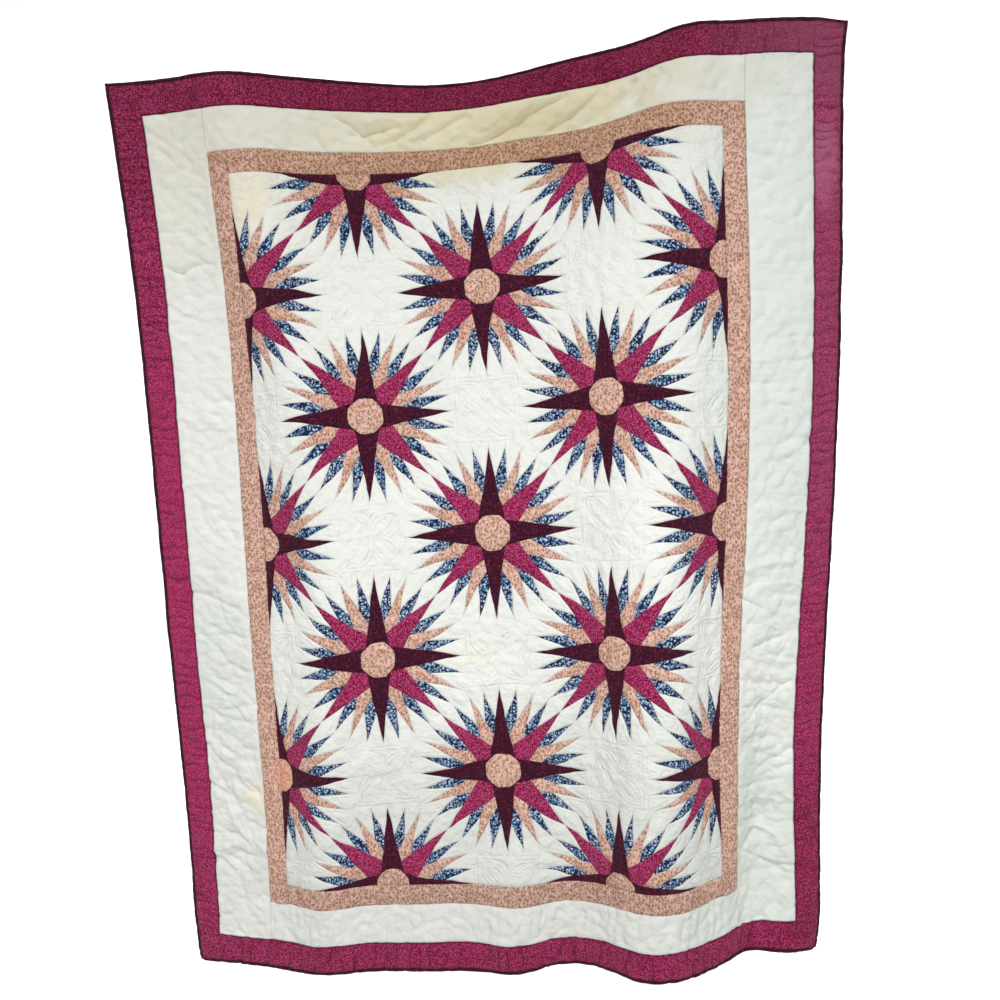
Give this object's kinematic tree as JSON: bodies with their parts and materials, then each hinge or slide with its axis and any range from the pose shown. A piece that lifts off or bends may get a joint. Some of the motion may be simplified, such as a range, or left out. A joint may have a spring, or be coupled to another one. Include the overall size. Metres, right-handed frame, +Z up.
{
  "type": "pieced star quilt blanket, hanging open",
  "caption": "Rectangular pieced quilt of compass stars with framed borders and a bound edge, hanging open from its top edge in soft folds.",
  "frame": {"origin": "middle of the quilt's top edge, where it is held up", "axes": "+Z up, +X to the right seen from the front, the pieced front faces -Y"},
  "size_m": [1.8219, 0.3001, 2.3333],
  "materials": {
    "white_cotton": "soft quilted cotton, off-white",
    "tan_print": "cotton print, tan with small rose dashes",
    "raspberry_print": "cotton pin-dot print, raspberry, quilted crosswise",
    "dark_maroon": "cotton, dark maroon tone on tone"
  },
  "bodies": {
    "root": {"star_field": "white_cotton", "tan_border_left": "tan_print", "tan_border_right": "tan_print", "tan_border_top": "tan_print", "tan_border_bottom": "tan_print", "white_border_left": "white_cotton", "white_border_right": "white_cotton", "white_border_top": "white_cotton", "white_border_bottom": "white_cotton", "outer_border_left": "raspberry_print", "outer_border_right": "raspberry_print", "outer_border_top": "raspberry_print", "outer_border_bottom": "raspberry_print", "binding_left": "dark_maroon", "binding_right": "dark_maroon", "binding_top": "dark_maroon", "binding_bottom": "dark_maroon"}
  },
  "joints": []
}
